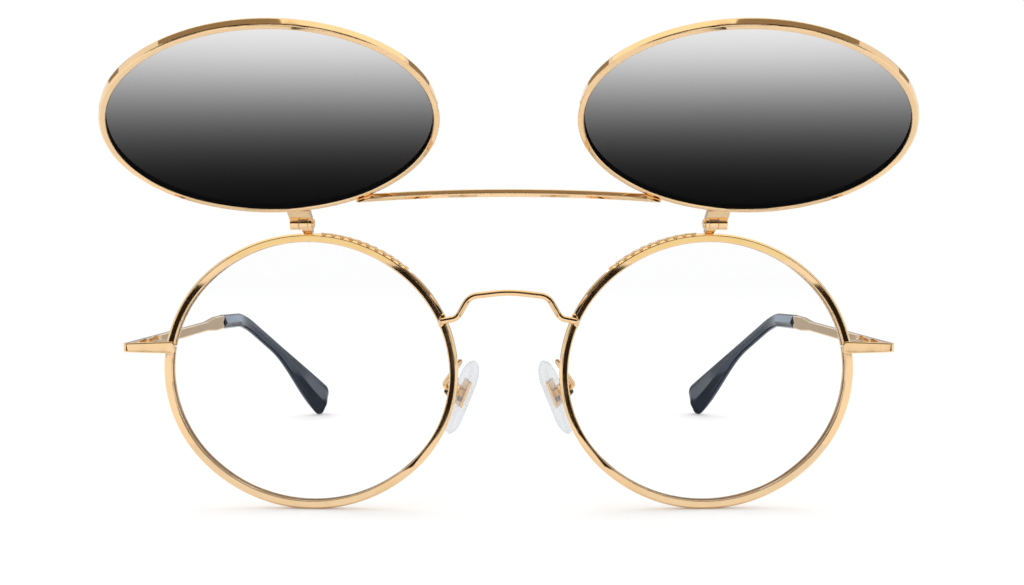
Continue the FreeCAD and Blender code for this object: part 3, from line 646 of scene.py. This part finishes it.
def model_pad(pads):
    """Crowned oblong pad, modelled round the origin with its nose side towards -X"""
    half = pads.thickness / 2
    clear_selection()
    bpy.ops.mesh.primitive_plane_add(size=1.0, rotation=(0.0, math.radians(90.0), 0.0))
    pad = bpy.context.object
    bpy.ops.object.transform_apply(location=True, rotation=True, scale=True)
    bpy.ops.object.mode_set(mode="EDIT")
    bpy.ops.mesh.select_all(action="SELECT")
    depth, share = PAD_STATIONS[0]
    bpy.ops.transform.resize(value=(1.0, pads.width * share, pads.height * share),
                             center_override=ORIGIN)
    bpy.ops.mesh.bevel(offset=pads.end_rounding * pads.width * share, segments=PAD_END_SEGMENTS,
                       affect="VERTICES")
    bpy.ops.transform.translate(value=(half * depth, 0.0, 0.0))
    for next_depth, next_share in PAD_STATIONS[1:]:
        bpy.ops.mesh.extrude_region_move(
            TRANSFORM_OT_translate={"value": (half * (next_depth - depth), 0.0, 0.0)})
        grow = next_share / share
        bpy.ops.transform.resize(value=(1.0, grow, grow),
                                 center_override=(half * next_depth, 0.0, 0.0))
        depth, share = next_depth, next_share
    bpy.ops.object.mode_set(mode="OBJECT")
    outward_faces(pad)
    rounding = pad.modifiers.new("soft", "SUBSURF")
    rounding.levels = 1
    rounding.render_levels = 1
    bpy.ops.object.modifier_apply(modifier=rounding.name)
    bpy.ops.object.shade_smooth()
    return pad


def model_strand(milling):
    """One rounded strand of the rope milling, along X, with its lower half below the XY plane"""
    clear_selection()
    bpy.ops.mesh.primitive_cube_add(size=1.0)
    strand = bpy.context.object
    bpy.ops.object.mode_set(mode="EDIT")
    bpy.ops.mesh.select_all(action="SELECT")
    size = (milling.strand_length, milling.strand_width, 2 * milling.strand_height)
    bpy.ops.transform.resize(value=size, center_override=ORIGIN)
    bpy.ops.mesh.bevel(offset=milling.strand_rounding * milling.strand_height, segments=2,
                       affect="EDGES")
    bpy.ops.object.mode_set(mode="OBJECT")
    bpy.ops.object.shade_smooth()
    return strand


def model_solder(solder):
    """Small domed fillet of solder, with its flat back towards +Y"""
    clear_selection()
    bpy.ops.mesh.primitive_uv_sphere_add(segments=32, ring_count=16, radius=0.5)
    fillet = bpy.context.object
    bpy.ops.object.mode_set(mode="EDIT")
    bpy.ops.mesh.select_all(action="SELECT")
    bpy.ops.transform.resize(value=(solder.width, solder.depth, solder.height),
                             center_override=ORIGIN)
    bpy.ops.mesh.bisect(plane_co=(0.0, solder.cut * solder.depth, 0.0), plane_no=(0.0, 1.0, 0.0),
                        use_fill=True, clear_outer=True, threshold=MERGE_GAP)
    bpy.ops.object.mode_set(mode="OBJECT")
    bpy.ops.object.shade_smooth_by_angle(angle=math.radians(50.0))
    return fillet


def rim_place(front):
    """Place of the middle of the right main rim"""
    low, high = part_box("right_main_rim")
    turn = Matrix.Rotation(front.lean, 4, "X") @ Matrix.Rotation(front.wrap, 4, "Z")
    return Matrix.Translation((low + high) / 2) @ turn


def rim_crown(front):
    """Height of the crown arc's middle above the rim's middle, and its radius"""
    low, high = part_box("right_main_rim")
    height = (high.z - low.z) / math.cos(front.lean)
    width = (high.x - low.x) / math.cos(front.wrap)
    shift = (width - height) / 2 / (2 - math.sqrt(2))
    return -shift, height / 2 + shift


# Stage


def middle(span):
    """Half way between two numbers"""
    return (span[0] + span[1]) / 2


def board(name, across, depth, rise, finish):
    """Board that the metal mirrors and the camera doesn't see, from its ends in X, Y and Z"""
    clear_selection()
    spans = (across, depth, rise)
    size = Vector([span[1] - span[0] for span in spans])
    bpy.ops.mesh.primitive_cube_add(size=1.0)
    piece = named(bpy.context.object, name)
    place = Matrix.Translation([middle(span) for span in spans])
    settle(piece, place @ Matrix.Diagonal((*size, 1.0)))
    piece.data.materials.append(finish)
    piece.visible_camera = False
    piece.visible_diffuse = False
    piece.visible_shadow = False
    piece.visible_transmission = False
    return piece


def slanted(piece, chosen, shift):
    """Move the chosen corners of a board"""
    only(piece)
    bpy.ops.object.mode_set(mode="EDIT")
    bpy.ops.mesh.select_mode(type="VERT")
    bpy.ops.mesh.select_all(action="DESELECT")
    bpy.ops.object.mode_set(mode="OBJECT")
    for corner in piece.data.vertices:
        corner.select = chosen(corner.co)
    bpy.ops.object.mode_set(mode="EDIT")
    bpy.ops.transform.translate(value=shift)
    bpy.ops.object.mode_set(mode="OBJECT")


def board_beside(name, sign, across, depth, rise, finish):
    """Board on one side, with its ends in X as distances from the middle"""
    return board(name, sorted(sign * end for end in across), depth, rise, finish)


def seen_share(tree, mirrored):
    """1 for the camera and glass, a share for mirrors, and 0 for light on dull surfaces"""
    path = tree.nodes.new("ShaderNodeLightPath")
    glossy = number(tree, "MULTIPLY", path.outputs["Is Glossy Ray"], mirrored)
    share = number(tree, "ADD", path.outputs["Is Camera Ray"], glossy, clamp=True)
    return number(tree, "ADD", share, path.outputs["Is Transmission Ray"], clamp=True)


def floor_finish(studio):
    """Pale floor that is white where no shadow falls"""
    finish, tree, shader = new_finish("pale_floor")
    shader.inputs["Base Color"].default_value = studio.floor_tone
    shader.inputs["Roughness"].default_value = 0.9
    shader.inputs["Specular IOR Level"].default_value = 0.0
    glow = tree.nodes.new("ShaderNodeEmission")
    glow.inputs["Strength"].default_value = 1.0
    mix = tree.nodes.new("ShaderNodeMixShader")
    seen = seen_share(tree, studio.mirror_share)
    wire(tree, number(tree, "MULTIPLY", seen, 1.0 - studio.shadow_share), mix.inputs["Fac"])
    wire(tree, shader.outputs["BSDF"], mix.inputs[1])
    wire(tree, glow.outputs["Emission"], mix.inputs[2])
    wire(tree, mix.outputs["Shader"], tree.nodes["Material Output"].inputs["Surface"])
    return finish


def mirrored_board(name, tone):
    """Board of an even tone, as the metal mirrors it"""
    finish, tree, shader = new_finish(name)
    shader.inputs["Base Color"].default_value = (0.0, 0.0, 0.0, 1.0)
    shader.inputs["Specular IOR Level"].default_value = 0.0
    shader.inputs["Emission Color"].default_value = tone
    shader.inputs["Emission Strength"].default_value = 1.0
    return finish


def even_sky(studio):
    """White round the object, at a plain level for the light that it gives"""
    world = bpy.data.worlds.new("even_sky")
    world.use_nodes = True
    tree = world.node_tree
    tree.nodes.clear()
    light = tree.nodes.new("ShaderNodeBackground")
    light.inputs["Color"].default_value = WHITE
    light.inputs["Strength"].default_value = studio.sky_level
    seen = tree.nodes.new("ShaderNodeBackground")
    seen.inputs["Color"].default_value = WHITE
    seen.inputs["Strength"].default_value = 1.0
    mix = tree.nodes.new("ShaderNodeMixShader")
    wire(tree, seen_share(tree, 1.0), mix.inputs["Fac"])
    wire(tree, light.outputs["Background"], mix.inputs[1])
    wire(tree, seen.outputs["Background"], mix.inputs[2])
    out = tree.nodes.new("ShaderNodeOutputWorld")
    wire(tree, mix.outputs["Shader"], out.inputs["Surface"])
    bpy.context.scene.world = world


def add_floor(studio):
    """Wide floor that the object stands on"""
    clear_selection()
    bpy.ops.mesh.primitive_plane_add(size=8.0)
    floor = named(bpy.context.object, "floor")
    floor.data.materials.append(floor_finish(studio))


def add_boards(studio):
    """Boards round the object, for the dark, brown and bright bands in the metal"""
    dark = mirrored_board("dark_board", studio.board_tone)
    brown = mirrored_board("brown_board", studio.ceiling_tone)
    warm = mirrored_board("warm_board", studio.warm_tone)
    bright = mirrored_board("bright_board", studio.softbox_tone)
    grey = mirrored_board("grey_board", studio.back_tone)
    pale = mirrored_board("painted_light_board", studio.front_tone)
    cool = mirrored_board("cool_board", studio.cool_tone)
    board("lens_board", (-0.058, 0.058), BESIDE_CAMERA, (0.020, 0.2), dark)
    board("front_ceiling", (-0.015, 0.015), (-1.0, -0.208), OVERHEAD, brown)
    board("back_ceiling", (-1.0, 1.0), (0.35, 1.0), OVERHEAD, brown)
    board("back_panel", (-0.028, 0.028), (0.42, 0.43), (0.0, 0.3), cool)
    board("softbox", (-0.45, 0.45), (-0.215, 0.3), (0.42, 0.43), bright)
    for side, sign in SIDES.items():
        # Dark boards low beside the camera, and on the floor in front of the rims
        lens_rise = (0.0, 0.018)
        upright = board_beside(side + "_lens_board", sign, (0.0448, 0.0560), BESIDE_CAMERA,
                               lens_rise, dark)
        slanted(upright, lambda corner: corner.z > middle(lens_rise),
                (sign * LENS_BOARD_LEAN, 0.0, 0.0))
        for index, (near, far) in enumerate(zip(NOSE_SHADE, NOSE_SHADE[1:])):
            depth = (far[1], near[1])
            strip = board_beside(f"{side}_strip_{index}", sign,
                                 (near[0], near[0] + NOSE_SHADE_WIDTH), depth, ON_FLOOR, dark)
            slanted(strip, lambda corner: corner.y < middle(depth),
                    (sign * (far[0] - near[0]), 0.0, 0.0))
        board_beside(side + "_board", sign, (0.126, 0.33), BESIDE_CAMERA, (0.0005, 0.0105), dark)
        board_beside(side + "_table_edge", sign, (0.110, 0.33), (-0.248, -0.178), ON_FLOOR, dark)
        # Brown ceiling in front, whose edge over the object steps back at the middle
        across, depth = (0.015, 0.47), (-1.0, -0.057)
        ceiling = board_beside(side + "_ceiling", sign, across, depth, OVERHEAD, brown)
        slanted(ceiling, lambda corner: abs(corner.x) < middle(across) and corner.y > middle(depth),
                (0.0, -CEILING_STEP, 0.0))
        # Walls behind the camera, warm below and dark above, and pale panels under the rims. The pale panels are
        # painted light: a painted reflection of lit floor where the rims' own shadow lies
        board_beside(side + "_bounce", sign, (0.058, 0.5), BEHIND_CAMERA, (0.0195, 0.05), warm)
        board_beside(side + "_rim_painted_light", sign, (0.026, 0.075), (-0.078, -0.0395),
                     (0.00005, 0.00015), pale)
        board_beside(side + "_valance", sign, (0.058, 0.5), BEHIND_CAMERA, (0.05, 0.39), dark)
        # Boards that the temples and the tips mirror. The dark boards beside the tips are painted shade: a painted
        # reflection of the shaded floor round the tips
        board_beside(side + "_back_board", sign, (0.028, 0.3), (0.40, 0.41), (0.0, 0.15), grey)
        board_beside(side + "_tip_painted_shade", sign, (0.036, 0.057), (0.050, 0.105), ON_FLOOR, dark)


def add_top_light(studio):
    """Soft light overhead, which the metal doesn't mirror"""
    bpy.ops.object.light_add(type="AREA", location=studio.top_place)
    lamp = bpy.context.object
    lamp.name = "top_light"
    lamp.data.shape = "RECTANGLE"
    lamp.data.size, lamp.data.size_y = studio.top_size
    lamp.data.energy = studio.top_level
    lamp.visible_glossy = False


def add_camera(studio):
    """Camera in front of the object, looking a little down"""
    bpy.ops.object.camera_add(location=studio.camera_place,
                              rotation=(math.radians(90.0) - studio.camera_dip, 0.0, 0.0))
    camera = bpy.context.object
    camera.data.sensor_fit = "HORIZONTAL"
    camera.data.sensor_width = 36.0
    camera.data.lens = studio.lens_length
    camera.data.shift_x = studio.camera_shift
    camera.data.clip_start = 0.005
    return camera


# Operators


class SUNGLASSES_OT_gold(bpy.types.Operator):
    """Give every metal piece its polished gold plate, and the small springs their steel"""

    bl_idname = "sunglasses.gold"
    bl_label = "Gold Plate"

    def execute(self, context):
        gold = polished_gold(context.scene.sunglasses_gold)
        for node in nodes_of("gold_metal"):
            dress(node, gold)
        steel = spring_steel()
        for node in nodes_of("spring_steel"):
            dress(node, steel)
        return {"FINISHED"}


class SUNGLASSES_OT_lenses(bpy.types.Operator):
    """Give the clear lenses and the tinted lenses their finish"""

    bl_idname = "sunglasses.lenses"
    bl_label = "Lenses"

    def execute(self, context):
        lens = context.scene.sunglasses_lens
        clear = clear_lens(lens)
        for node in nodes_of("clear_lens"):
            dress(node, clear)
        tinted = tinted_lens(lens, context.scene.sunglasses_front)
        for node in nodes_of("tinted_lens"):
            dress(node, tinted)
        return {"FINISHED"}


class SUNGLASSES_OT_tips(bpy.types.Operator):
    """Give the temple tips their dark polish"""

    bl_idname = "sunglasses.tips"
    bl_label = "Temple Tips"

    def execute(self, context):
        finish = dark_tip(context.scene.sunglasses_tip)
        for node in nodes_of("dark_tip"):
            dress(node, finish)
        return {"FINISHED"}


class SUNGLASSES_OT_pads(bpy.types.Operator):
    """Model the soft nose pads"""

    bl_idname = "sunglasses.pads"
    bl_label = "Nose Pads"

    def execute(self, context):
        pads = context.scene.sunglasses_pad
        right = named(model_pad(pads), "right_soft_pad")
        settle(right, pad_place(pads, context.scene.sunglasses_front))
        finish = clear_silicone(pads)
        right.data.materials.append(finish)
        left = twin(right, "left_soft_pad")
        for side, pad in (("left", left), ("right", right)):
            node = side + "_nose_pad"
            dress(node, finish)
            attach(pad, node)
            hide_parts(node)
        return {"FINISHED"}


class SUNGLASSES_OT_milling(bpy.types.Operator):
    """Model the rope milling on the upper nose side of the main rims"""

    bl_idname = "sunglasses.milling"
    bl_label = "Rope Milling"

    def execute(self, context):
        milling = context.scene.sunglasses_milling
        front = context.scene.sunglasses_front
        rise, radius = rim_crown(front)
        eye = rim_place(front)
        first = model_strand(milling)
        strands = [first]
        for _ in range(milling.strands - 1):
            only(first)
            bpy.ops.object.duplicate()
            strands.append(bpy.context.object)
        step = (milling.last_turn - milling.first_turn) / (milling.strands - 1)
        for index, strand in enumerate(strands):
            turn = milling.first_turn + index * step
            outward = Vector((math.cos(turn), 0.0, math.sin(turn)))
            along = Vector((-math.sin(turn), 0.0, math.cos(turn)))
            back = Vector((0.0, 1.0, 0.0))
            lie = along * math.cos(milling.slant) + back * math.sin(milling.slant)
            across = outward.cross(lie)
            axes = Matrix((lie, across, outward)).transposed().to_4x4()
            spot = Vector((0.0, 0.0, rise)) + outward * radius
            settle(strand, eye @ Matrix.Translation(spot) @ axes)
        clear_selection()
        for strand in strands:
            strand.select_set(True)
        context.view_layer.objects.active = first
        bpy.ops.object.join()
        right = named(bpy.context.object, "right_rim_milling")
        outward_faces(right)
        right.data.materials.append(polished_gold(context.scene.sunglasses_gold))
        left = twin(right, "left_rim_milling")
        for piece in (left, right):
            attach(piece, "front")
        return {"FINISHED"}


class SUNGLASSES_OT_solder(bpy.types.Operator):
    """Model the fillets of solder at the ends of the bridge"""

    bl_idname = "sunglasses.solder"
    bl_label = "Bridge Solder"

    def execute(self, context):
        solder = context.scene.sunglasses_solder
        low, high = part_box("bridge")
        wire_width = high.y - low.y
        spot = Vector((high.x - solder.end_gap, high.y - SOLDER_INSET * wire_width,
                       low.z + wire_width / 2))
        right = named(model_solder(solder), "right_bridge_solder")
        settle(right, Matrix.Translation(spot) @ Matrix.Rotation(-solder.lean, 4, "Y"))
        outward_faces(right)
        right.data.materials.append(polished_gold(context.scene.sunglasses_gold))
        left = twin(right, "left_bridge_solder")
        for piece in (left, right):
            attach(piece, "front")
        return {"FINISHED"}


class SUNGLASSES_OT_studio(bpy.types.Operator):
    """Set up the floor, the light and the camera"""

    bl_idname = "sunglasses.studio"
    bl_label = "Studio"

    def execute(self, context):
        studio = context.scene.sunglasses_studio
        add_floor(studio)
        add_boards(studio)
        even_sky(studio)
        add_top_light(studio)
        context.scene.camera = add_camera(studio)
        context.scene.view_settings.view_transform = "Standard"
        return {"FINISHED"}


class SUNGLASSES_PT_pieces(bpy.types.Panel):
    """The steps that finish the sunglasses, in order"""

    bl_idname = "SUNGLASSES_PT_pieces"
    bl_label = "Sunglasses"
    bl_space_type = "VIEW_3D"
    bl_region_type = "UI"
    bl_category = "Sunglasses"

    def draw(self, context):
        for operator in OPERATORS:
            self.layout.operator(operator.bl_idname)


SETTINGS = {
    "sunglasses_gold": GoldSettings,
    "sunglasses_lens": LensSettings,
    "sunglasses_tip": TipSettings,
    "sunglasses_pad": PadSettings,
    "sunglasses_milling": MillingSettings,
    "sunglasses_solder": SolderSettings,
    "sunglasses_front": FrontSettings,
    "sunglasses_studio": StudioSettings,
}
OPERATORS = (
    SUNGLASSES_OT_gold,
    SUNGLASSES_OT_lenses,
    SUNGLASSES_OT_tips,
    SUNGLASSES_OT_pads,
    SUNGLASSES_OT_milling,
    SUNGLASSES_OT_solder,
    SUNGLASSES_OT_studio,
)


def register():
    """Register the settings, the operators and the panel"""
    for name, settings in SETTINGS.items():
        bpy.utils.register_class(settings)
        setattr(bpy.types.Scene, name, bpy.props.PointerProperty(type=settings))
    for operator in OPERATORS:
        bpy.utils.register_class(operator)
    bpy.utils.register_class(SUNGLASSES_PT_pieces)


def unregister():
    """Remove the panel, the operators and the settings"""
    bpy.utils.unregister_class(SUNGLASSES_PT_pieces)
    for operator in reversed(OPERATORS):
        bpy.utils.unregister_class(operator)
    for name, settings in SETTINGS.items():
        delattr(bpy.types.Scene, name)
        bpy.utils.unregister_class(settings)


def main():
    """Finish the frame"""
    register()
    bpy.ops.sunglasses.gold()
    bpy.ops.sunglasses.lenses()
    bpy.ops.sunglasses.tips()
    bpy.ops.sunglasses.pads()
    bpy.ops.sunglasses.milling()
    bpy.ops.sunglasses.solder()
    bpy.ops.sunglasses.studio()
    clear_selection()


if __name__ == "__main__":
    main()
